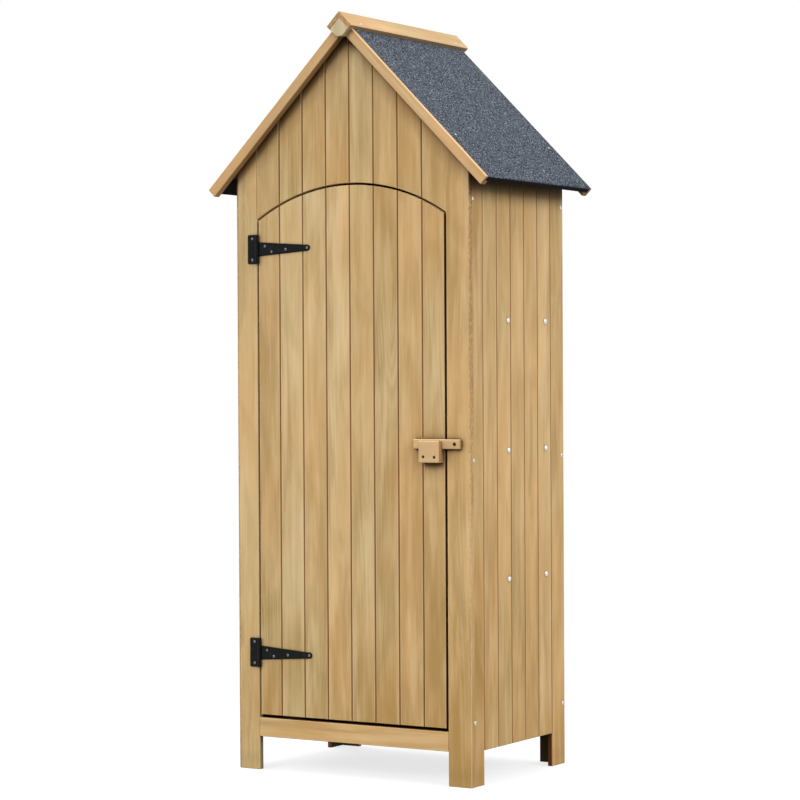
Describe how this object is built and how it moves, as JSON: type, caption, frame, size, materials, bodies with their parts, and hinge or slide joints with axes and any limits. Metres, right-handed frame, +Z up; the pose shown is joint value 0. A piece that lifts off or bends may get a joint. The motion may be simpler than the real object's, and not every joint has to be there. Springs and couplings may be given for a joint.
{
  "type": "wooden tool shed",
  "caption": "Narrow upright timber garden tool shed on short legs, with a steep felted roof and one arched, strap-hinged door closed by a wooden drop latch.",
  "frame": {"origin": "on the ground under the middle of the roof", "axes": "+Z up, +Y from the front with the door to the back, +X to the right seen from the front"},
  "size_m": [0.77, 0.542, 1.79],
  "materials": {
    "wall_timber": "matte",
    "door_timber": "matte",
    "inner_timber": "matte",
    "trim_timber": "matte",
    "roof_felt": "matte",
    "black_iron": "satin",
    "zinc": "satin"
  },
  "bodies": {
    "shed": {"front_left_stile": "wall_timber", "front_right_stile": "wall_timber", "front_sill_rail": "wall_timber", "front_gable_panel": "wall_timber", "left_front_corner_board": "wall_timber", "left_wall": "wall_timber", "left_back_corner_board": "wall_timber", "right_front_corner_board": "wall_timber", "right_wall": "wall_timber", "right_back_corner_board": "wall_timber", "back_left_stile": "wall_timber", "back_wall": "wall_timber", "back_right_stile": "wall_timber", "front_left_post": "inner_timber", "front_right_post": "inner_timber", "back_left_post": "inner_timber", "back_right_post": "inner_timber", "floor": "inner_timber", "left_floor_bearer": "inner_timber", "right_floor_bearer": "inner_timber", "left_shelf_rails": "inner_timber", "right_shelf_rails": "inner_timber", "roof_left_board": "inner_timber", "roof_right_board": "inner_timber", "roof_left_felt": "roof_felt", "roof_right_felt": "roof_felt", "front_left_barge": "trim_timber", "front_right_barge": "trim_timber", "back_left_barge": "trim_timber", "back_right_barge": "trim_timber", "ridge_cap_left": "trim_timber", "ridge_cap_right": "trim_timber", "ridge_block_front": "trim_timber", "ridge_block_back": "trim_timber", "upper_hinge_leaf": "black_iron", "lower_hinge_leaf": "black_iron", "latch_pivot": "zinc"},
    "door": {"door_panel": "door_timber", "door_top_ledge": "inner_timber", "door_middle_ledge": "inner_timber", "door_bottom_ledge": "inner_timber", "upper_hinge_strap": "black_iron", "lower_hinge_strap": "black_iron", "latch_catch": "trim_timber"},
    "latch": {"latch_bar": "trim_timber"}
  },
  "joints": [
    {"name": "door_swing", "type": "hinge", "parent": "shed", "child": "door", "pos_m": [-0.26025, -0.2345, 0.763], "axis": [0, 0, -1], "range_deg": [0, 165]},
    {"name": "latch_turn", "type": "hinge", "parent": "shed", "child": "latch", "pos_m": [0.2875, -0.2355, 0.785], "axis": [0, 1, 0], "range_deg": [0, 270]}
  ]
}
